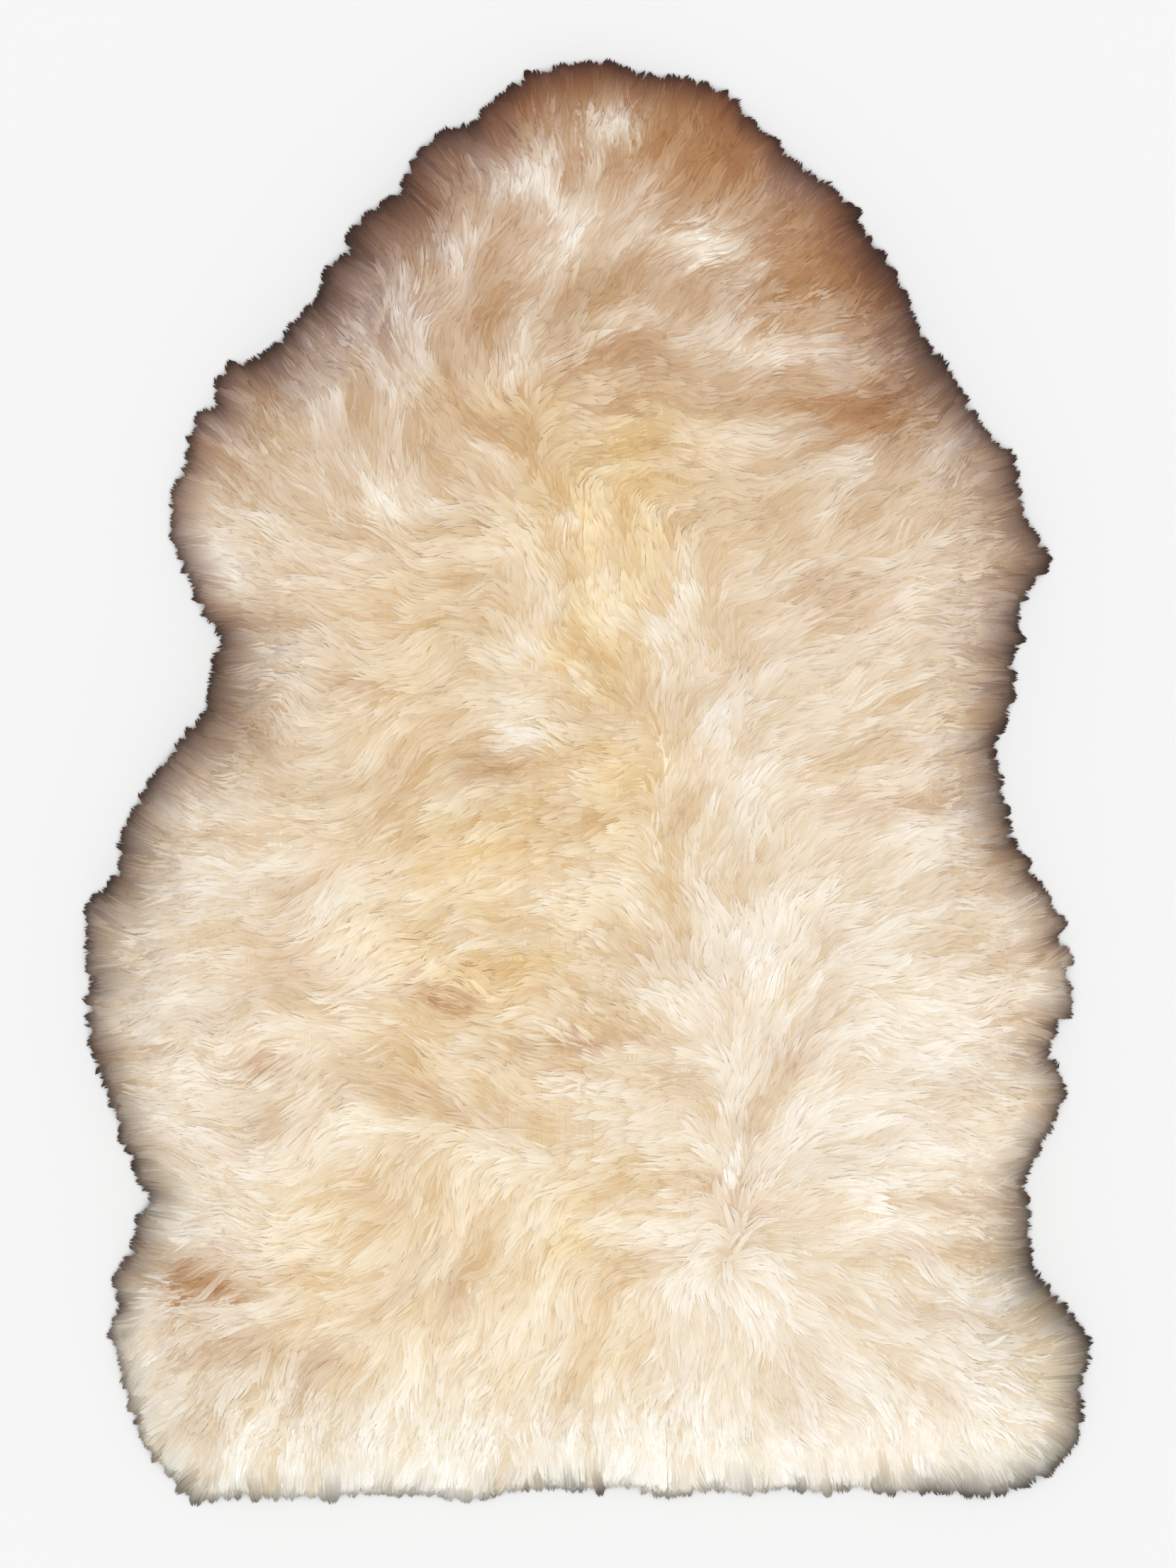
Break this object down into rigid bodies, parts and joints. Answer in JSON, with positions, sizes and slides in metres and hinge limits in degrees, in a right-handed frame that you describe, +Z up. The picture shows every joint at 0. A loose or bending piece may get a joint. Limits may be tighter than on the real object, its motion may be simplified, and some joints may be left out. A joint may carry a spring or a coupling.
{
  "type": "sheepskin rug",
  "caption": "Sheepskin rug in the natural shape of the pelt, lying flat with its long combed wool up, for a floor, a bench or a seat.",
  "frame": {"origin": "middle of the rug's box at floor level, on the underside of the hide", "axes": "+Y along the rug from its wide tail to its narrow neck, +X across it to the right as seen from above, +Z up out of the wool"},
  "size_m": [0.6656, 0.9506, 0.0554],
  "materials": {
    "wool": "long combed natural wool, silky",
    "tanned_hide": "matte suede, tanned flesh side"
  },
  "bodies": {
    "root": {"fleece": "wool", "hide": "tanned_hide"}
  },
  "joints": []
}
